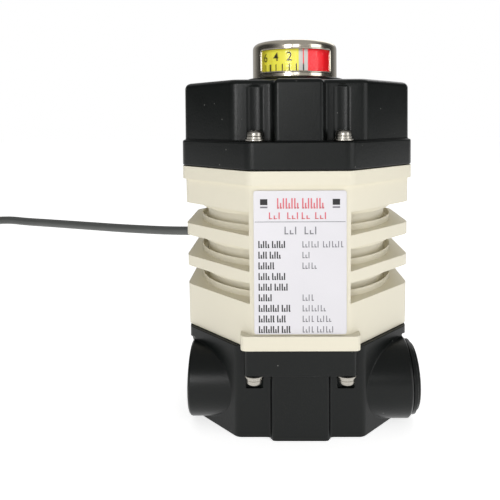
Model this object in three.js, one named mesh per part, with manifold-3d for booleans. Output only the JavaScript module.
// Small quarter-turn electric valve actuator: a die-cast cover, a finned body and a base, with a
// gear motor, a bevel pair, a worm drive, limit-switch cams and a position indicator inside.
// Millimetres, +Z up. The origin is on the output axis at the base's bottom face; the front with
// the rating plate faces -Y.
import * as THREE from "three";
import { mergeVertices } from "three/addons/utils/BufferGeometryUtils.js";
import Module from "manifold-3d";

const wasm = await Module();
wasm.setup();

// ---------------------------------------------------------------- driving dimensions
const gap = 0.3; // clearance between pieces that meet
const fine = 40; // sides of the large round faces
const medium = 16; // sides of shafts, rings and bores
const coarse = 8; // sides of screws and small holes
const flangeHalf = 57; // cover and body flange, centre to flat
const diagonal = 79.6; // x + y on the flange's diagonal faces
const bodyHalf = 55.6; // body below the flange, centre to flat
const draft = 0.022 / 73; // how much the body narrows per millimetre downwards
const wall = 3.5; // casting wall
const cavityRadius = 42.5; // round inside of the body
const edgeRadius = 3; // rounding of the castings' upright edges

const baseTop = 41.9; // joint between base and body
const bodyTop = 121.2; // joint between body and cover
const flangeDepth = 6.2; // height of the body's top flange
const coverFlange = 12.5; // height of the cover's flange
const coverHeight = 40.5; // cover, from its joint to its roof
const plateauHeight = 3.2; // round step on the roof
const plateauRadius = 26.8;

const grooves = [[62.2, 71.4], [76.6, 86.8], [92.6, 103]]; // cooling grooves, bottom and top
const coreRadius = 46.5; // round bottom of the cooling grooves
const grooveFillet = 3;
const spineHalf = 22.6; // the upright front and back faces between the grooves

const frontRecess = 47.3; // cover's front wall beside the central boss
const coverBossHalf = 11.3;
const coverBossFront = 54;
const coverSide = 55.6; // cover's box, centre to side face
const coverDiagonal = 77.5;
const coverScrew = [19.6, 51.5]; // x and y of the cover screws
const screwPocket = 5.5; // radius of the driver pocket above a screw

const baseSide = 53.4; // base, centre to side face
const baseDiagonal = 78.4;
const spotFace = 1; // flat ring cut into the base's wall round each port
const baseFront = 49.9;
const baseBossHalf = 13.1;
const baseBossFront = 53;
const baseFloor = 10; // thickness of the mounting floor
const lugHalf = 25.1; // base lug flange, half width
const lugFront = 56;
const lugBottom = 30.6;
const tabHalf = 26.6; // body's tab above the lug flange
const tabFront = 56.5;
const tabTop = 48.6;
const baseScrew = [20.6, 52.2];
const basePocket = 4.7;

const screwShank = 2; // M4
const washerRadius = 4.4;
const washerThickness = 0.9;
const springRadius = 3.7;
const springThickness = 1.1;
const headRadius = 3.5;
const headHeight = 2.9;
const screwGrip = 10; // cover screws' thread length in the body
const baseScrewGrip = 4.8; // base screws' thread length in the body's tab

const sealWidth = 2.4;
const sealDepth = 1.6;
const sealRadius = 45.5; // centre of both joint seals

const wormTeeth = 30;
const wormModule = 1.5;
const wormPitch = 7; // pitch radius of the worm
const wormLength = 22;
const wormBacklash = 0.12;
const wheelWidth = 8;
const axleRadius = 4; // worm shaft journals
const wheelPitch = (wormTeeth * wormModule) / 2;
const axleY = -(wheelPitch + wormPitch); // worm axis, in front of the output axis
const axleZ = 18.8;
const bearingRadius = 11;
const bearingWidth = 7;
const bearingX = 36; // inner face of each worm bearing
const bearingBoss = 14.5;
const hexAcross = 6; // hand-drive hexagon on the worm shaft
const leftPort = { radius: 17.5, end: -51.8 };
const rightPort = { radius: 18.6, end: 52.1 };
const capThread = 14; // radius of both port caps' threads
const capThreadLength = 6;
const handCap = [[17, 1.9], [15.6, 1.6]]; // hand-drive cap: radius and depth of its two steps

const bevelTeeth = 16;
const bevelModule = 1;
const bevelFace = 3.5;
const bevelBacklash = 0.2;
const motorX = 22; // motor output shaft's place along the worm shaft
const motorShaftRadius = 2.5;
const bevelHub = 5.8;
const shaftRoom = 1.5; // room round the motor shaft where it passes a wall

const shaftRadius = 12; // output shaft in its lower bush
const shaftNeck = 9; // output shaft above its shoulder
const shaftFoot = 1; // output shaft's lower end
const shaftShoulder = 13.5;
const driveSquare = 11; // double-square socket, across the flats
const driveDepth = 13;
const bushWall = 2.4;
const plateThickness = 4;
const openingRadius = 38; // base's open top under the gear plate
const spindleRadius = 3; // cam and indicator spindle
const spindleGrip = 9; // how far the spindle sits in the output shaft
const spindleReach = 7.2; // spindle above the indicator drum's foot

const motorCentre = [10, -21];
const motorRadius = 18;
const motorGearbox = 13.5;
const motorHeight = 46;
const capacitorPlace = [-20, 20];
const capacitorSize = [9, 40]; // radius and length
const posts = [[0, 36], [-34, -12], [36, 6]];
const postRadius = 3;
const shelfDrop = 3.6; // switch plate's lower face below the joint of body and cover
const shelfThickness = 2;
const shelfRadius = 40;

const camBase = 9;
const camLobe = 13.4;
const camHeight = 6;
const camRises = [4.4, 12.4]; // lower face of each cam above the switch plate
const lobeSpan = THREE.MathUtils.degToRad(40);
const switchSize = [10, 20, 6.4]; // towards the cam, along the lever, height
const switchFace = 17.5; // switch's front face from the output axis
const leverLength = 18;
const leverThickness = 0.5;
const leverTilt = THREE.MathUtils.degToRad(10);
const leverWidth = 4;
const terminalSize = [30, 11, 12];
const terminalY = 26;

const bezelRadius = 22.3;
const bezelWall = 1.2;
const bezelHeight = 18.4;
const bezelEdge = 3;
const windowLow = 2.2; // window above the bezel's foot
const windowHeight = 11.6;
const windowHalfAngle = THREE.MathUtils.degToRad(52);
const lensWall = 1.2;
const lensLip = 1.4;
const lensBoss = 4;
const drumRadius = 18.8;
const drumHeight = 13.8;
const drumWall = 1.2;
const drumHub = 6.5;
const drumHubHeight = 4.7;
const bezelScrewShank = 1.5;
const bezelScrewHead = [3.2, 3]; // radius and height

const plateHalf = 20.3; // rating plate, half width
const plateLow = 49.2;
const plateHigh = 112.8;
const plateDepth = 0.5;

const glandZ = 58.8;
const glandThread = 7;
const glandHex = 17; // across the flats
const glandHexDepth = 5;
const glandNutRadius = 8;
const glandNutLength = 10;
const cableRadius = 3.5;
const bootLength = 22;
const coilCentre = [-347.2, 181.6];
const coilRadius = 38.5; // centre line of the coiled cable
const coilTurns = 2.25;
const coilLift = 0.8; // the tie's thickness under the coil
const tieThickness = 0.5;
const tieWidth = 5;
const tailLength = 34;
const tailStart = -24.5; // where the tail leaves the coil, from its centre
const coresLength = 26;
const coresRadius = 2.6;

// ---------------------------------------------------------------- places that follow
const bodyLow = baseTop + gap;
const coverLow = bodyTop + gap;
const flangeTop = coverLow + coverFlange;
const roofTop = coverLow + coverHeight;
const plateauTop = roofTop + plateauHeight;
const plateLowZ = bodyLow; // gear plate's lower face
const gearPlateTop = plateLowZ + plateThickness;
const shelfBottom = bodyTop - shelfDrop;
const shelfTop = shelfBottom + shelfThickness;
const camLevels = camRises.map((rise) => shelfTop + rise);
const bezelFoot = plateauTop + gap;
const bezelTop = bezelFoot + bezelHeight;
const lensRadius = bezelRadius - bezelWall - gap;
const lensTop = bezelTop - bezelWall - gap;
const drumFoot = bezelFoot + 1.3;
const spindleTop = drumFoot + spindleReach;
const shaftTop = gearPlateTop - gap;
const boreBottom = shaftTop - spindleGrip - gap;
const bevelPitch = (bevelTeeth * bevelModule) / 2;
const spineBack = bodyHalf * draftScale(glandZ);
const glandFace = spineBack + gap;
const cableStart = glandFace + glandHexDepth + gap + glandNutLength + gap + bootLength + gap;
const coilTop = coilLift + 2 * cableRadius * (coilTurns + 1);

// ---------------------------------------------------------------- solids from plain shapes
function draftScale(z) {
  return 1 - (bodyTop - flangeDepth - z) * draft;
}

function solid(geometry) {
  const bare = geometry.clone();
  bare.deleteAttribute("normal");
  bare.deleteAttribute("uv");
  const merged = mergeVertices(bare, 1e-4);
  const corners = Array.from(merged.index.array);
  const kept = [];
  for (let i = 0; i < corners.length; i += 3) {
    const [a, b, c] = corners.slice(i, i + 3);
    if (a !== b && b !== c && c !== a) kept.push(a, b, c);
  }
  const vertProperties = new Float32Array(merged.attributes.position.array);
  const triVerts = new Uint32Array(kept);
  return new wasm.Manifold(new wasm.Mesh({ numProp: 3, vertProperties, triVerts }));
}

const cut = (body, ...tools) => tools.reduce((rest, tool) => rest.subtract(tool), body);
const join = (...bodies) => bodies.reduce((all, body) => all.add(body));

function bend(geometry, place) {
  const positions = geometry.attributes.position;
  for (let i = 0; i < positions.count; i += 1) {
    positions.setXYZ(i, ...place(positions.getX(i), positions.getY(i), positions.getZ(i)));
  }
  return geometry;
}

function prismGeometry(shape, low, high, curveSegments = 3) {
  const options = { depth: high - low, bevelEnabled: false, curveSegments };
  return new THREE.ExtrudeGeometry(shape, options).translate(0, 0, low);
}

const prism = (shape, low, high, segments) => solid(prismGeometry(shape, low, high, segments));

function roundedShape(points, radius) {
  const corners = points.map(([x, y]) => new THREE.Vector2(x, y));
  const shape = new THREE.Shape();
  corners.forEach((corner, i) => {
    const before = corners[(i + corners.length - 1) % corners.length];
    const after = corners[(i + 1) % corners.length];
    const start = corner.clone().add(before.clone().sub(corner).setLength(radius));
    const end = corner.clone().add(after.clone().sub(corner).setLength(radius));
    if (i === 0) shape.moveTo(start.x, start.y);
    else shape.lineTo(start.x, start.y);
    shape.quadraticCurveTo(corner.x, corner.y, end.x, end.y);
  });
  shape.closePath();
  return shape;
}

function octagon(side, front, cornerSum, radius = edgeRadius) {
  const quarter = [[side, cornerSum - side], [cornerSum - front, front]];
  const right = [[quarter[0][0], -quarter[0][1]], ...quarter];
  const left = quarter.map(([x, y]) => [-x, y]).reverse();
  const low = [[-quarter[0][0], -quarter[0][1]], [-quarter[1][0], -quarter[1][1]]];
  const last = [[quarter[1][0], -quarter[1][1]]];
  return roundedShape([...right, ...left, ...low, ...last], radius);
}

function bossedOctagon(side, front, cornerSum, bossHalf, bossFront, radius) {
  const edge = [
    [-side, -(cornerSum - side)],
    [-(cornerSum - front), -front],
    [-bossHalf, -front],
    [-bossHalf, -bossFront],
    [bossHalf, -bossFront],
    [bossHalf, -front],
    [cornerSum - front, -front],
    [side, -(cornerSum - side)],
  ];
  return roundedShape([...edge, ...edge.map(([x, y]) => [-x, -y])], radius);
}

const slab = (halfX, halfY, radius = edgeRadius) =>
  roundedShape([[halfX, -halfY], [halfX, halfY], [-halfX, halfY], [-halfX, -halfY]], radius);

function turned(profile, segments = medium) {
  const points = profile.map(([radius, z]) => new THREE.Vector2(radius, z));
  return solid(new THREE.LatheGeometry(points, segments).rotateX(Math.PI / 2));
}

const rod = (radius, low, high, segments = medium) =>
  turned([[0, low], [radius, low], [radius, high], [0, high]], segments);

const ring = (inner, outer, low, high, segments = medium) =>
  turned([[inner, low], [outer, low], [outer, high], [inner, high], [inner, low]], segments);

function box(sizeX, sizeY, sizeZ, x, y, z) {
  return solid(new THREE.BoxGeometry(sizeX, sizeY, sizeZ).translate(x, y, z));
}

function hexagon(across, low, high) {
  const corner = across / Math.sqrt(3);
  const corners = [0, 1, 2, 3, 4, 5].map((i) => {
    const turn = (i * Math.PI) / 3;
    return new THREE.Vector2(corner * Math.cos(turn), corner * Math.sin(turn));
  });
  return prism(new THREE.Shape(corners), low, high);
}

// Lays a piece that was made along +Z along +X (or +Y), and moves it to its place.
const alongX = (piece, y, z) => piece.rotate([0, 90, 0]).translate([0, y, z]);
const alongY = (piece, x, z) => piece.rotate([-90, 0, 0]).translate([x, 0, z]);
const arc = (count, from, to) =>
  Array.from({ length: count + 1 }, (_, i) => from + ((to - from) * i) / count);

// ---------------------------------------------------------------- gears
function toothHalfAngle(radius, teeth, module, backlash) {
  const pressure = THREE.MathUtils.degToRad(20);
  const pitch = (teeth * module) / 2;
  const base = pitch * Math.cos(pressure);
  const involute = (angle) => Math.tan(angle) - angle;
  const here = involute(Math.acos(Math.min(1, base / radius)));
  return (Math.PI * module / 2 - backlash) / (2 * pitch) + involute(pressure) - here;
}

function gearShape(teeth, module, backlash) {
  const pitch = (teeth * module) / 2;
  const radii = [pitch - 1.25 * module, pitch + module];
  const points = [];
  for (let tooth = 0; tooth < teeth; tooth += 1) {
    const centre = (tooth * 2 * Math.PI) / teeth;
    const flank = (side) => (radius) => {
      const angle = centre + side * toothHalfAngle(radius, teeth, module, backlash);
      return new THREE.Vector2(radius * Math.cos(angle), radius * Math.sin(angle));
    };
    points.push(...radii.map(flank(-1)), ...radii.map(flank(1)).reverse());
  }
  return new THREE.Shape(points);
}

// Worm wheel about +Z. Its teeth lean with the worm's lead, and one tooth points at the worm.
function makeWormWheel() {
  const lead = Math.PI * wormModule;
  const lean = lead / (2 * Math.PI * wormPitch) / wheelPitch;
  const outline = gearShape(wormTeeth, wormModule, wormBacklash);
  const leaning = bend(prismGeometry(outline, -wheelWidth / 2, wheelWidth / 2), (x, y, z) => {
    const turn = lean * z - Math.PI / 2;
    return [x * Math.cos(turn) - y * Math.sin(turn), x * Math.sin(turn) + y * Math.cos(turn), z];
  });
  const hub = rod(shaftNeck + 4, -wheelWidth / 2, wheelWidth / 2 + 1.5);
  const bore = rod(shaftNeck + gap, -wheelWidth, wheelWidth);
  return cut(join(solid(leaning), hub), bore).translate([0, 0, axleZ]);
}

// One right-hand thread round +X, with a gap in it facing the wheel's tooth.
function wormThread() {
  const lead = Math.PI * wormModule;
  const stepsPerTurn = 16;
  const turns = Math.ceil(wormLength / lead) + 2;
  const slope = Math.tan(THREE.MathUtils.degToRad(20));
  const half = (Math.PI * wormModule / 2 - wormBacklash) / 2;
  const inner = wormPitch - 1.4 * wormModule;
  const outer = wormPitch + wormModule * 0.95;
  const foot = half + (wormPitch - inner) * slope;
  const crest = half - (outer - wormPitch) * slope;
  const section = [[-foot, inner], [-crest, outer], [crest, outer], [foot, inner]];
  const positions = [];
  const index = [];
  const total = turns * stepsPerTurn;
  for (let step = 0; step <= total; step += 1) {
    const angle = ((step - total / 2) / stepsPerTurn) * 2 * Math.PI;
    const along = (lead * angle) / (2 * Math.PI) + lead / 2;
    for (const [x, radius] of section) {
      positions.push(along + x, radius * Math.cos(angle), radius * Math.sin(angle));
    }
    if (step === total) break;
    for (let side = 0; side < 4; side += 1) {
      const a = step * 4 + side;
      const b = step * 4 + ((side + 1) % 4);
      index.push(a, b + 4, b, a, a + 4, b + 4);
    }
  }
  index.push(0, 1, 2, 0, 2, 3);
  const end = total * 4;
  index.push(end, end + 2, end + 1, end, end + 3, end + 2);
  const geometry = new THREE.BufferGeometry();
  geometry.setAttribute("position", new THREE.Float32BufferAttribute(positions, 3));
  geometry.setIndex(index);
  return solid(geometry);
}

function makeWormShaft() {
  const root = wormPitch - 1.25 * wormModule;
  const blank = rod(wormPitch * 2, -wormLength / 2, wormLength / 2).rotate([0, 90, 0]);
  const core = rod(root, -wormLength / 2 - 2, wormLength / 2 + 2).rotate([0, 90, 0]);
  const axleLow = -(bearingX + bearingWidth);
  const axle = rod(axleRadius, axleLow, bearingX + bearingWidth).rotate([0, 90, 0]);
  const stub = hexagon(hexAcross, bearingX, rightPort.end - 3).rotate([0, 90, 0]);
  return join(wormThread().intersect(blank), core, axle, stub).translate([0, axleY, axleZ]);
}

// Bevel gear with its cone's tip at the origin and its back towards +Z.
function makeBevel(bore) {
  const small = 1 - bevelFace / (bevelPitch * Math.SQRT2);
  const teeth = bend(
    prismGeometry(gearShape(bevelTeeth, bevelModule, bevelBacklash), 0, 1),
    (x, y, z) => {
      const radius = Math.hypot(x, y);
      const rise = (radius - bevelPitch) * Math.SQRT1_2;
      const size = z < 0.5 ? small : 1;
      const out = ((bevelPitch + rise) * size) / radius;
      return [x * out, y * out, (bevelPitch - rise) * size];
    },
  );
  const hub = rod(bevelHub, bevelPitch, bevelPitch + 4);
  return cut(join(solid(teeth), hub), rod(bore, 0, bevelPitch * 2));
}

// ---------------------------------------------------------------- castings
function coverOutline(inset) {
  return bossedOctagon(
    coverSide - inset,
    frontRecess - inset,
    coverDiagonal - inset * Math.SQRT2,
    coverBossHalf - inset,
    coverBossFront - inset,
    edgeRadius * 0.8,
  );
}

function roundTopped(shape, low, high, edge) {
  const options = {
    depth: high - low - 2 * edge,
    bevelThickness: edge,
    bevelSize: edge,
    bevelOffset: -edge,
    bevelSegments: 2,
    curveSegments: 2,
  };
  return solid(new THREE.ExtrudeGeometry(shape, options).translate(0, 0, low + edge));
}

const fourCorners = ([x, y]) => [[x, -y], [-x, -y], [x, y], [-x, y]];

function makeCover() {
  const flange = prism(octagon(flangeHalf, flangeHalf, diagonal), coverLow, flangeTop);
  const hood = roundTopped(coverOutline(0), flangeTop - 2 * edgeRadius, roofTop, edgeRadius * 0.8);
  const plateau = turned([
    [0, roofTop - 1],
    [plateauRadius, roofTop - 1],
    [plateauRadius, plateauTop - 1],
    [plateauRadius - 1, plateauTop],
    [0, plateauTop],
  ], fine);
  const room = prism(
    octagon(coverSide - wall, frontRecess - wall, coverDiagonal - wall * Math.SQRT2),
    flangeTop - 4,
    roofTop - wall,
  );
  const mouth = rod(cavityRadius, coverLow - 1, flangeTop - 3, fine);
  const bore = rod(lensRadius + gap, roofTop - 2 * wall, plateauTop + 1, fine);
  const tools = fourCorners(coverScrew).flatMap(([x, y]) => [
    rod(screwPocket, flangeTop, roofTop - edgeRadius).translate([x, y, 0]),
    rod(screwShank + gap, coverLow - 1, flangeTop + 1, coarse).translate([x, y, 0]),
  ]);
  return cut(join(flange, hood, plateau), room, mouth, bore, ...tools);
}

function grooveCore() {
  const profile = [[0, bodyLow], [coreRadius + grooveFillet, bodyLow]];
  for (const [low, high] of grooves) {
    for (const t of arc(2, -Math.PI / 2, 0)) {
      const out = grooveFillet * (1 + Math.sin(t));
      profile.push([coreRadius + grooveFillet - out, low + grooveFillet * (1 - Math.cos(t))]);
    }
    for (const t of arc(2, 0, Math.PI / 2)) {
      const out = grooveFillet * (1 - Math.sin(t));
      profile.push([coreRadius + grooveFillet - out, high - grooveFillet * (1 - Math.cos(t))]);
    }
  }
  profile.push([coreRadius + grooveFillet, bodyTop], [0, bodyTop]);
  return turned(profile, fine);
}

function draftedPrism(shape, low, high) {
  const place = (x, y, z) => [x * draftScale(z), y * draftScale(z), z];
  return solid(bend(prismGeometry(shape, low, high, 2), place));
}

function bodyShell() {
  const outline = octagon(bodyHalf, bodyHalf, diagonal - Math.SQRT2 * (flangeHalf - bodyHalf));
  const flangeLow = bodyTop - flangeDepth;
  const levels = [bodyLow, ...grooves.flat(), flangeLow + 1];
  const fins = [];
  for (let i = 0; i < levels.length; i += 2) {
    fins.push(draftedPrism(outline, levels[i], levels[i + 1]));
  }
  const whole = draftedPrism(outline, bodyLow, flangeLow + 1);
  const spine = draftedPrism(slab(spineHalf, bodyHalf, 0.5), bodyLow, flangeLow + 1);
  const flange = prism(octagon(flangeHalf, flangeHalf, diagonal), flangeLow, bodyTop);
  const tab = prism(slab(tabHalf, tabFront), bodyLow, tabTop);
  return join(grooveCore(), ...fins, spine.intersect(whole), flange, tab);
}

function makeBody() {
  const cavity = rod(cavityRadius, bodyLow - 1, bodyTop + 1, fine);
  const sealGroove = ring(
    sealRadius - sealWidth / 2 - gap,
    sealRadius + sealWidth / 2 + gap,
    bodyTop - sealDepth,
    bodyTop + 1,
    fine,
  );
  const glandHole = alongY(rod(glandThread + gap, coreRadius - 8, flangeHalf), 0, glandZ);
  const coverHoles = fourCorners(coverScrew).map(([x, y]) =>
    rod(screwShank + gap, bodyTop - screwGrip - 1, bodyTop + 1, coarse).translate([x, y, 0]));
  const baseHoles = fourCorners(baseScrew).map(([x, y]) =>
    rod(screwShank + gap, bodyLow - 1, bodyLow + baseScrewGrip + gap, coarse).translate([x, y, 0]));
  return cut(bodyShell(), cavity, sealGroove, glandHole, ...coverHoles, ...baseHoles);
}

function spotFaceTool({ radius, end }) {
  const tool = rod(radius + spotFace, Math.abs(end) - 1, baseSide + 1, fine);
  return alongX(end > 0 ? tool : tool.rotate([180, 0, 0]), axleY, axleZ);
}

function portBarrel(radius, end) {
  const side = Math.sign(end);
  const reach = Math.abs(end);
  const barrel = turned([
    [0, 0],
    [radius, 0],
    [radius, reach - 1],
    [radius - 1, reach],
    [0, reach],
  ], fine);
  return alongX(side > 0 ? barrel : barrel.rotate([180, 0, 0]), axleY, axleZ);
}

function makeBase() {
  const block = prism(
    bossedOctagon(baseSide, baseFront, baseDiagonal, baseBossHalf, baseBossFront, 2),
    0,
    baseTop,
  );
  const lugs = prism(slab(lugHalf, lugFront), lugBottom, baseTop);
  const ports = [leftPort, rightPort].map(({ radius, end }) => portBarrel(radius, end));
  const room = prism(
    octagon(baseSide - wall, baseFront - wall, baseDiagonal - wall * Math.SQRT2),
    baseFloor,
    baseTop - wall,
  );
  const faced = cut(block, ...[leftPort, rightPort].map(spotFaceTool));
  const shell = cut(join(faced, lugs, ...ports), room);
  const bearingSeats = [leftPort, rightPort].map(({ end }) => {
    const from = bearingX - 1.2;
    const seat = rod(bearingBoss, from, Math.abs(end) - 1);
    return alongX(end > 0 ? seat : seat.rotate([180, 0, 0]), axleY, axleZ);
  });
  const neck = rod(shaftRadius + bushWall + 2 * gap + 2.5, 0, shaftShoulder - 1);
  return cut(join(shell, ...bearingSeats, neck), ...baseCuts());
}

function baseCuts() {
  const bushBore = rod(shaftRadius + bushWall + 2 * gap, -1, shaftShoulder + 1);
  const opening = rod(openingRadius, baseTop - wall - 1, baseTop + 1, fine);
  const shaftNotch = rod(motorShaftRadius + shaftRoom, baseTop - wall - 1, baseTop + 1);
  const sealGroove = ring(
    sealRadius - sealWidth / 2 - gap,
    sealRadius + sealWidth / 2 + gap,
    baseTop - sealDepth,
    baseTop + 1,
    fine,
  );
  const bearingBore = alongX(rod(bearingRadius + gap, -60, 60), axleY, axleZ);
  const capSeats = [leftPort, rightPort].map(({ end }) => {
    const seat = rod(capThread + gap, Math.abs(end) - capThreadLength - 1, Math.abs(end) + 2);
    return alongX(end > 0 ? seat : seat.rotate([180, 0, 0]), axleY, axleZ);
  });
  const clampHoles = fourCorners(baseScrew).flatMap(([x, y]) => [
    rod(screwShank + gap, lugBottom - 1, baseTop + 1, coarse).translate([x, y, 0]),
    rod(basePocket, lugBottom - 8, lugBottom).translate([x, y, 0]),
  ]);
  return [
    bushBore,
    opening,
    shaftNotch.translate([motorX, axleY, 0]),
    sealGroove,
    bearingBore,
    ...capSeats,
    ...clampHoles,
    ...mountHoles(),
  ];
}

// Blind valve-mounting holes in the floor: M5 on a 36 mm circle and M6 on a 50 mm circle.
function mountHoles() {
  return [[36, 2.1], [50, 2.5]].flatMap(([circle, radius]) =>
    [45, 135, 225, 315].map((angle) => {
      const turn = THREE.MathUtils.degToRad(angle);
      const place = [(circle / 2) * Math.cos(turn), (circle / 2) * Math.sin(turn), 0];
      return rod(radius, -1, baseFloor - 1.5, coarse).translate(place);
    }));
}

// ---------------------------------------------------------------- fasteners, seals and caps
function makeScrew(grip) {
  const springTop = washerThickness + springThickness;
  const headTop = springTop + headHeight;
  return turned([
    [0, -grip],
    [screwShank, -grip],
    [screwShank, 0],
    [washerRadius, 0],
    [washerRadius, washerThickness],
    [springRadius, washerThickness],
    [springRadius, springTop],
    [headRadius, springTop],
    [headRadius, springTop + headHeight * 0.55],
    [headRadius * 0.6, headTop],
    [0, headTop],
  ], coarse);
}

const makeSeal = (top) =>
  ring(sealRadius - sealWidth / 2, sealRadius + sealWidth / 2, top - sealDepth + gap, top, fine);

function makeLeftCap() {
  const end = Math.abs(leftPort.end);
  const plug = rod(capThread, end - capThreadLength, end - 0.4);
  const key = hexagon(8, end - 3.5, end + 1);
  return alongX(cut(plug, key).rotate([180, 0, 0]), axleY, axleZ);
}

function makeHandCap() {
  const face = rightPort.end + gap;
  const [[wide, first], [narrow, second]] = handCap;
  const cap = turned([
    [0, rightPort.end - capThreadLength],
    [capThread, rightPort.end - capThreadLength],
    [capThread, face],
    [wide, face],
    [wide, face + first],
    [narrow, face + first],
    [narrow, face + first + second - 0.6],
    [narrow - 0.6, face + first + second],
    [0, face + first + second],
  ], fine);
  const hollow = rod(8, rightPort.end - capThreadLength - 1, rightPort.end - 1);
  const slot = box(2, 22, 2, 0, 0, face + first + second);
  return alongX(cut(cap, hollow, slot), axleY, axleZ);
}

// ---------------------------------------------------------------- output line
function makeOutputShaft() {
  const blank = turned([
    [0, shaftFoot],
    [shaftRadius, shaftFoot],
    [shaftRadius, shaftShoulder],
    [shaftNeck, shaftShoulder],
    [shaftNeck, shaftTop],
    [0, shaftTop],
  ]);
  const square = box(driveSquare, driveSquare, 2 * driveDepth, 0, 0, shaftFoot);
  const socket = join(square, square.rotate([0, 0, 45]));
  return cut(blank, socket, rod(spindleRadius + gap, boreBottom, shaftTop + 1));
}

function camShape(towards) {
  const shape = new THREE.Shape();
  shape.absarc(0, 0, camLobe, towards - lobeSpan / 2, towards + lobeSpan / 2);
  shape.absarc(0, 0, camBase, towards + lobeSpan, towards - lobeSpan + 2 * Math.PI);
  shape.closePath();
  return shape;
}

function makeCam(level, towards) {
  return cut(
    prism(camShape(towards), level, level + camHeight, 12),
    rod(spindleRadius + gap, level - 1, level + camHeight + 1),
  );
}

function makeDrum() {
  const inside = drumRadius - drumWall;
  return turned([
    [spindleRadius + gap, drumFoot],
    [drumRadius, drumFoot],
    [drumRadius, drumFoot + drumHeight],
    [inside, drumFoot + drumHeight],
    [inside, drumFoot + drumWall],
    [drumHub, drumFoot + drumWall],
    [drumHub, drumFoot + drumHubHeight],
    [spindleRadius + gap, drumFoot + drumHubHeight],
    [spindleRadius + gap, drumFoot],
  ], fine);
}

// ---------------------------------------------------------------- indicator housing
function makeBezel() {
  const inside = bezelRadius - bezelWall;
  const edge = arc(3, 0, Math.PI / 2).map((t) => [
    bezelRadius - bezelEdge * (1 - Math.cos(t)),
    bezelTop - bezelEdge * (1 - Math.sin(t)),
  ]);
  const cup = turned([
    [inside, bezelFoot],
    [bezelRadius, bezelFoot],
    ...edge,
    [0, bezelTop],
    [0, bezelTop - bezelWall],
    [inside - bezelWall, bezelTop - bezelWall],
    [inside, bezelTop - bezelEdge],
    [inside, bezelFoot],
  ], fine);
  const wedge = new THREE.Shape();
  wedge.moveTo(0, 0);
  wedge.absarc(0, 0, bezelRadius * 1.4, -Math.PI / 2 - windowHalfAngle, -Math.PI / 2 + windowHalfAngle);
  wedge.closePath();
  const view = prism(wedge, bezelFoot + windowLow, bezelFoot + windowLow + windowHeight, 12);
  return cut(cup, view, rod(bezelScrewShank + gap, bezelTop - 5, bezelTop + 1));
}

function makeLens() {
  const inside = lensRadius - lensWall;
  const lipTop = roofTop - wall - gap;
  const cup = turned([
    [inside, lipTop - lensLip],
    [lensRadius + lensLip, lipTop - lensLip],
    [lensRadius + lensLip, lipTop],
    [lensRadius, lipTop],
    [lensRadius, lensTop - 2],
    [lensRadius - 2, lensTop],
    [0, lensTop],
    [0, lensTop - lensWall - 3.5],
    [lensBoss, lensTop - lensWall - 3.5],
    [lensBoss, lensTop - lensWall],
    [inside - 0.6, lensTop - lensWall],
    [inside, lensTop - lensWall - 0.6],
    [inside, lipTop - lensLip],
  ], fine);
  return cut(cup, rod(bezelScrewShank + gap, lensTop - 4.2, lensTop + 1));
}

function makeBezelScrew() {
  const [radius, height] = bezelScrewHead;
  const under = bezelTop + gap;
  return turned([
    [0, lensTop - 3.8],
    [bezelScrewShank, lensTop - 3.8],
    [bezelScrewShank, under],
    [radius, under],
    [radius, under + height * 0.5],
    [radius * 0.7, under + height * 0.9],
    [0, under + height],
  ], coarse);
}

// ---------------------------------------------------------------- drive and switches
function makeGearPlate() {
  const disc = rod(cavityRadius - gap, plateLowZ, gearPlateTop, fine);
  const bushHole = rod(shaftNeck + bushWall + 2 * gap, plateLowZ - 1, gearPlateTop + 1);
  const motorHole = rod(motorShaftRadius + shaftRoom, plateLowZ - 1, gearPlateTop + 1);
  return cut(disc, bushHole, motorHole.translate([motorX, axleY, 0]));
}

function makeGearMotor() {
  const foot = gearPlateTop + gap;
  const body = turned([
    [0, foot],
    [motorRadius, foot],
    [motorRadius, foot + motorGearbox],
    [motorRadius - 1.2, foot + motorGearbox],
    [motorRadius - 1.2, foot + motorHeight - 3],
    [motorRadius - 4, foot + motorHeight],
    [5, foot + motorHeight],
    [5, foot + motorHeight + 2],
    [0, foot + motorHeight + 2],
  ]).translate([...motorCentre, 0]);
  const outlet = rod(motorShaftRadius + gap, foot - 1, foot + 8).translate([motorX, axleY, 0]);
  return cut(body, outlet);
}

const makeMotorShaft = () =>
  rod(motorShaftRadius, axleZ + bevelPitch - 1, gearPlateTop + gap + 7).translate([motorX, axleY, 0]);

function makeShelf() {
  const disc = rod(shelfRadius, shelfBottom, shelfTop, fine);
  return cut(disc, rod(spindleRadius + 3, shelfBottom - 1, shelfTop + 1));
}

// Side is -1 for the switch at -X and +1 for the one at +X.
function makeSwitch(side, level) {
  const [deep, long, tall] = switchSize;
  const body = box(deep, long, tall, side * (switchFace + deep / 2), 0, level + tall / 2);
  const button = rod(1, -1, 1.1, 12).rotate([0, side * -90, 0]);
  return join(body, button.translate([side * switchFace, 3, level + tall / 2]));
}

function makeSwitchMount(side, level) {
  const [deep, long] = switchSize;
  const height = level - gap - (shelfTop + gap);
  return box(deep, long, height, side * (switchFace + deep / 2), 0, shelfTop + gap + height / 2);
}

function makeLever(side, level) {
  const middle = level + switchSize[2] / 2;
  const strip = box(leverThickness, leverLength, leverWidth, 0, leverLength / 2, 0);
  const eye = rod(0.9, -leverWidth / 2, leverWidth / 2, 12);
  const place = [side * (switchFace - 1.5), -leverLength / 2, middle];
  return join(strip, eye).rotate([0, 0, side * THREE.MathUtils.radToDeg(leverTilt)]).translate(place);
}

function makeTerminal() {
  const [long, deep, tall] = terminalSize;
  const foot = shelfTop + gap;
  const block = box(long, deep, tall, 0, terminalY, foot + tall / 2);
  const slots = [0, 1, 2, 3].map((i) => {
    const x = (i - 1.5) * (long / 4);
    return box(long / 4 - 2.5, deep * 0.5, 5, x, terminalY, foot + tall);
  });
  return cut(block, ...slots);
}

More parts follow.
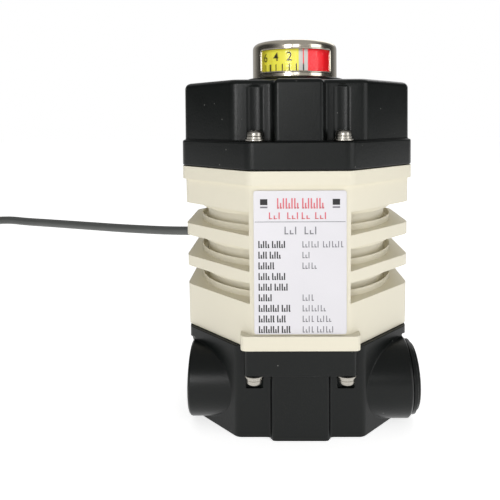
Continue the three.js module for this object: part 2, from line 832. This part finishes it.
// ---------------------------------------------------------------- gland and cable
function makeGlandBody() {
  const thread = rod(glandThread, cavityRadius - 0.5, glandFace);
  return alongY(join(thread, hexagon(glandHex, glandFace, glandFace + glandHexDepth)), 0, glandZ);
}

function makeGlandNut() {
  const foot = glandFace + glandHexDepth + gap;
  return alongY(turned([
    [cableRadius + 1.6, foot],
    [glandNutRadius, foot],
    [glandNutRadius, foot + glandNutLength * 0.6],
    [glandNutRadius - 2.2, foot + glandNutLength],
    [cableRadius + 1.6, foot + glandNutLength],
    [cableRadius + 1.6, foot],
  ]), 0, glandZ);
}

function makeBoot() {
  const foot = glandFace + glandHexDepth + gap + glandNutLength + gap;
  return alongY(turned([
    [0, foot],
    [cableRadius + 2.6, foot],
    [cableRadius + 0.9, foot + bootLength],
    [0, foot + bootLength],
  ]), 0, glandZ);
}

// The cable's route from the boot to the coil: straight back, round to the left, nearly level and
// easing down, then in an S-bend to the top of the coil.
const cablePoints = [
  [0, cableStart, glandZ],
  [0, cableStart + 10, glandZ],
  [-3, cableStart + 24, glandZ - 0.2],
  [-14, cableStart + 37, glandZ - 0.8],
  [-32, cableStart + 44, glandZ - 1.6],
  [-58, 141.5, 56.2],
  [-88, 146, 55.1],
  [-127, 157, 54.5],
  [-176, 174, 54.3],
  [-202, 184, 54.1],
  [-234, 196, 53.8],
  [-262, 207.8, 53.3],
  [-272, 211.4, 51.8],
  [-282, 214.6, 47],
  [-292, 217.2, 36.7],
  [-302.3, 219, 26.4],
  [-312.8, 220, 21.5],
  [coilCentre[0] + 24, coilCentre[1] + coilRadius, coilTop - cableRadius],
];

function tube(points, radius, steps) {
  const section = new THREE.Shape();
  section.absarc(0, 0, radius, 0, 2 * Math.PI);
  const extrudePath = new THREE.CatmullRomCurve3(points.map((point) => new THREE.Vector3(...point)));
  return solid(new THREE.ExtrudeGeometry(section, { steps, extrudePath, curveSegments: 5 }));
}

const makeCoil = () => ring(
  coilRadius - cableRadius - 0.2,
  coilRadius + cableRadius + 0.2,
  coilLift,
  coilTop,
  fine,
).translate([...coilCentre, 0]);

function makeTie() {
  const half = cableRadius + 0.2 + gap;
  const inner = box(2 * half, 3 * tieWidth, coilTop + gap, 0, 0, (coilTop + gap) / 2 + tieThickness);
  const outerHigh = coilTop + gap + 2 * tieThickness;
  const outer = box(2 * (half + tieThickness), tieWidth, outerHigh, 0, 0, outerHigh / 2);
  return cut(outer, inner).translate([coilCentre[0] + coilRadius, coilCentre[1], 0]);
}

const tailX = coilCentre[0] - coilRadius;
const tailZ = coilLift + cableRadius;
const tailY = coilCentre[1] + tailStart;
const straight = (from, to, radius) => tube([[tailX, from, tailZ], [tailX, to, tailZ]], radius, 1);
const makeTail = () => straight(tailY, tailY - tailLength, cableRadius);
const makeCores = () => straight(tailY - tailLength - gap, tailY - tailLength - coresLength, coresRadius);

// ---------------------------------------------------------------- the assembly
const finishes = {
  enamel: { color: 0x17191a, roughness: 0.42, metalness: 0 },
  cream: { color: 0xe5dfcc, roughness: 0.5, metalness: 0 },
  nickel: { color: 0xc9c2b4, roughness: 0.22, metalness: 1 },
  steel: { color: 0xb9bbbe, roughness: 0.35, metalness: 1 },
  aluminium: { color: 0xc4c6c8, roughness: 0.5, metalness: 1 },
  bronze: { color: 0xb08a4f, roughness: 0.4, metalness: 1 },
  rubber: { color: 0x202122, roughness: 0.8, metalness: 0 },
  jacket: { color: 0x3a3c3e, roughness: 0.6, metalness: 0 },
  plastic: { color: 0x2a2c30, roughness: 0.5, metalness: 0 },
  yellow: { color: 0xe6d829, roughness: 0.45, metalness: 0 },
  label: { color: 0xdfe0e4, roughness: 0.35, metalness: 0.2 },
  clear: { color: 0xf2f6f6, roughness: 0.08, metalness: 0, transparent: true, opacity: 0.35 },
};

const actuator = new THREE.Group();

function add(name, finish, body) {
  const { vertProperties, triVerts } = body.getMesh();
  const geometry = new THREE.BufferGeometry();
  geometry.setAttribute("position", new THREE.Float32BufferAttribute(vertProperties, 3));
  geometry.setIndex(Array.from(triVerts));
  geometry.computeVertexNormals();
  const material = new THREE.MeshStandardMaterial({ flatShading: true, ...finishes[finish] });
  const mesh = new THREE.Mesh(geometry, material);
  mesh.name = name;
  actuator.add(mesh);
}

function addHousing() {
  add("top_cover", "enamel", makeCover());
  add("body_housing", "cream", makeBody());
  add("base_housing", "enamel", makeBase());
  add("cover_seal", "rubber", makeSeal(bodyTop));
  add("base_seal", "rubber", makeSeal(baseTop));
  const coverGrip = coverFlange + gap + screwGrip;
  fourCorners(coverScrew).forEach(([x, y], i) => {
    add(`cover_screw_${i + 1}`, "steel", makeScrew(coverGrip).translate([x, y, flangeTop + gap]));
  });
  const baseGrip = baseTop - lugBottom + 2 * gap + baseScrewGrip;
  fourCorners(baseScrew).forEach(([x, y], i) => {
    const screw = makeScrew(baseGrip).rotate([180, 0, 0]);
    add(`base_screw_${i + 1}`, "steel", screw.translate([x, y, lugBottom - gap]));
  });
  add("left_port_cap", "enamel", makeLeftCap());
  add("hand_drive_cap", "enamel", makeHandCap());
}

function addRatingPlate() {
  const height = plateHigh - plateLow;
  const middle = (plateHigh + plateLow) / 2;
  const tilt = THREE.MathUtils.radToDeg(Math.atan(bodyHalf * draft));
  const face = bodyHalf * draftScale(middle) + gap + plateDepth / 2;
  const plate = prism(slab(plateHalf, height / 2, 1.2), -plateDepth / 2, plateDepth / 2);
  add("rating_plate", "label", plate.rotate([90 + tilt, 0, 0]).translate([0, -face, middle]));
}

function addIndicator() {
  add("indicator_bezel", "nickel", makeBezel());
  add("indicator_lens", "clear", makeLens());
  add("bezel_screw", "steel", makeBezelScrew());
  add("indicator_drum", "yellow", makeDrum());
  const clipFoot = drumFoot + drumHubHeight + gap;
  add("drum_clip", "steel", ring(spindleRadius + gap, 5.4, clipFoot, clipFoot + 0.8));
}

function addOutputLine() {
  add("output_shaft", "steel", makeOutputShaft());
  add("worm_wheel", "bronze", makeWormWheel());
  const clipFoot = axleZ + wheelWidth / 2 + 1.5 + gap;
  add("shaft_clip", "steel", ring(shaftNeck + gap, shaftNeck + 2.6, clipFoot, clipFoot + 1.2));
  const sleeve = (radius, low, high) => ring(radius + gap, radius + gap + bushWall, low, high);
  const sealTop = shaftFoot + 3;
  add("shaft_seal", "rubber", sleeve(shaftRadius, shaftFoot, sealTop));
  add("lower_bush", "bronze", sleeve(shaftRadius, sealTop + gap, shaftShoulder - 1));
  add("upper_bush", "bronze", sleeve(shaftNeck, plateLowZ, gearPlateTop - gap));
  add("cam_spindle", "steel", rod(spindleRadius, boreBottom + gap, spindleTop));
  add("closed_cam", "plastic", makeCam(camLevels[0], Math.PI));
  add("open_cam", "plastic", makeCam(camLevels[1], -Math.PI / 2));
}

function addDrive() {
  add("gear_plate", "aluminium", makeGearPlate());
  add("worm_shaft", "steel", makeWormShaft());
  const halfTooth = 180 / bevelTeeth;
  const crossBevel = makeBevel(axleRadius + gap).rotate([0, 0, halfTooth]).rotate([0, 90, 0]);
  add("worm_bevel", "steel", crossBevel.translate([motorX, axleY, axleZ]));
  add("motor_bevel", "steel", makeBevel(motorShaftRadius + gap).translate([motorX, axleY, axleZ]));
  for (const [name, side] of [["left", -1], ["right", 1]]) {
    const race = ring(axleRadius + gap, bearingRadius, bearingX, bearingX + bearingWidth);
    const turnedRace = side > 0 ? race : race.rotate([180, 0, 0]);
    add(`worm_bearing_${name}`, "steel", alongX(turnedRace, axleY, axleZ));
  }
  add("motor_shaft", "steel", makeMotorShaft());
  add("gear_motor", "aluminium", makeGearMotor());
  const [radius, length] = capacitorSize;
  const foot = gearPlateTop + gap;
  add("run_capacitor", "plastic", rod(radius, foot, foot + length).translate([...capacitorPlace, 0]));
}

function addSwitchGear() {
  posts.forEach(([x, y], i) => {
    const post = rod(postRadius, gearPlateTop + gap, shelfBottom - gap, 16);
    add(`spacer_post_${i + 1}`, "steel", post.translate([x, y, 0]));
  });
  add("switch_plate", "aluminium", makeShelf());
  [["closed", -1], ["open", 1]].forEach(([name, side], i) => {
    add(`${name}_switch_mount`, "plastic", makeSwitchMount(side, camLevels[i]));
    add(`${name}_limit_switch`, "plastic", makeSwitch(side, camLevels[i]));
    add(`${name}_switch_lever`, "steel", makeLever(side, camLevels[i]));
  });
  add("terminal_block", "plastic", makeTerminal());
}

function addCable() {
  add("gland_body", "plastic", makeGlandBody());
  add("gland_nut", "plastic", makeGlandNut());
  add("cable_boot", "rubber", makeBoot());
  add("power_cable", "jacket", tube(cablePoints, cableRadius, 30));
  add("cable_coil", "jacket", makeCoil());
  add("coil_tie", "plastic", makeTie());
  add("cable_tail", "jacket", makeTail());
  add("cable_cores", "plastic", makeCores());
}

addHousing();
addRatingPlate();
addIndicator();
addOutputLine();
addDrive();
addSwitchGear();
addCable();

export default actuator;
